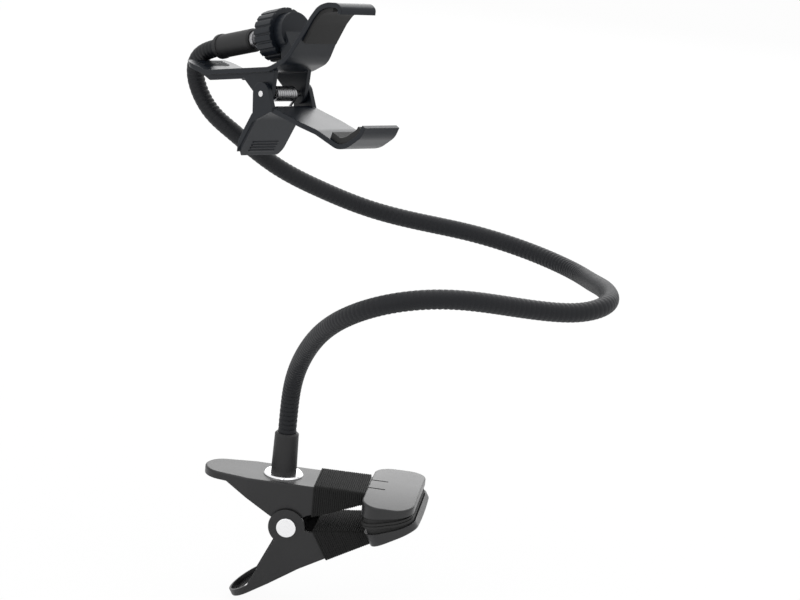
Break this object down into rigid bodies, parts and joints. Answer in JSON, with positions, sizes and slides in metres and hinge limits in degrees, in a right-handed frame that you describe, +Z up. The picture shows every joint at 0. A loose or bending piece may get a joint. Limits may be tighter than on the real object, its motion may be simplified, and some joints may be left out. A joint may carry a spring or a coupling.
{
  "type": "clamp-on gooseneck phone holder",
  "caption": "Spring table clamp carrying a bendable gooseneck arm with a ball-jointed spring clip at its head that holds a phone by its edges.",
  "frame": {"origin": "in the table clamp's grip, between its two pads, 54 mm from the rivet", "axes": "+X along the upper lever out of the clamp's mouth, +Y across the clamp, +Z up along the arm's foot"},
  "size_m": [0.2412, 0.2109, 0.3065],
  "materials": {
    "coated_steel": "satin black powder coat",
    "bright_steel": "bright plated",
    "spring_wire": "drawn wire and turned steel",
    "jaw_rubber": "smooth dark grey rubber",
    "pad_rubber": "matt black soft rubber",
    "black_cord": "matt black wound cord",
    "black_ferrule": "matt black",
    "arm_sleeve": "matt black ribbed sleeve over a wire core",
    "clip_plastic": "semi-gloss black moulding"
  },
  "bodies": {
    "clamp": {"upper_lever": "coated_steel", "pivot_rivet": "bright_steel", "clamp_spring": "spring_wire", "upper_jaw_cap": "jaw_rubber", "upper_jaw_pad": "pad_rubber", "upper_cord_wrap": "black_cord", "seat_washer": "bright_steel", "base_ferrule": "black_ferrule", "arm_nut": "spring_wire", "gooseneck": "arm_sleeve"},
    "lower_jaw": {"lower_lever": "coated_steel", "lower_jaw_cap": "jaw_rubber", "lower_jaw_pad": "pad_rubber", "lower_cord_wrap": "black_cord"},
    "arm_end": {"head_ferrule": "black_ferrule"},
    "ball": {"ball_stud": "spring_wire"},
    "collar": {"collar_nut": "clip_plastic"},
    "clip": {"clip_upper_half": "clip_plastic", "clip_pin": "bright_steel", "clip_spring": "spring_wire", "upper_liner": "pad_rubber"},
    "clip_jaw": {"clip_lower_half": "clip_plastic", "lower_liner": "pad_rubber"}
  },
  "joints": [
    {"name": "clamp_open", "type": "hinge", "parent": "clamp", "child": "lower_jaw", "pos_m": [-0.05216, 0, -0.01398], "axis": [0, 1, 0], "range_deg": [0, 40], "stiffness_Nm_per_rad": 1.5, "springref_deg": -28.65, "deforming": ["clamp_spring"]},
    {"name": "arm_bend", "type": "hinge", "parent": "clamp", "child": "arm_end", "pos_m": [-0.05816, 0, 0.05352], "axis": [0, 1, 0], "range_deg": [-20, 20], "deforming": ["gooseneck"]},
    {"name": "stud_spin", "type": "hinge", "parent": "arm_end", "child": "ball", "pos_m": [-0.08454, 0.0444, 0.22252], "axis": [-0.7606, 0.5677, -0.3148], "continuous": true},
    {"name": "ball_tilt", "type": "hinge", "parent": "ball", "child": "collar", "pos_m": [-0.08454, 0.0444, 0.22252], "axis": [0.2065, -0.2482, -0.9464], "range_deg": [-20, 20]},
    {"name": "clip_turn", "type": "hinge", "parent": "collar", "child": "clip", "pos_m": [-0.08454, 0.0444, 0.22252], "axis": [-0.7606, 0.5677, -0.3148], "continuous": true},
    {"name": "clip_open", "type": "hinge", "parent": "clip", "child": "clip_jaw", "pos_m": [-0.08059, 0.03871, 0.19402], "axis": [0.6155, 0.7849, -0.0715], "range_deg": [-30, 20], "stiffness_Nm_per_rad": 0.4, "deforming": ["clip_spring"]}
  ]
}
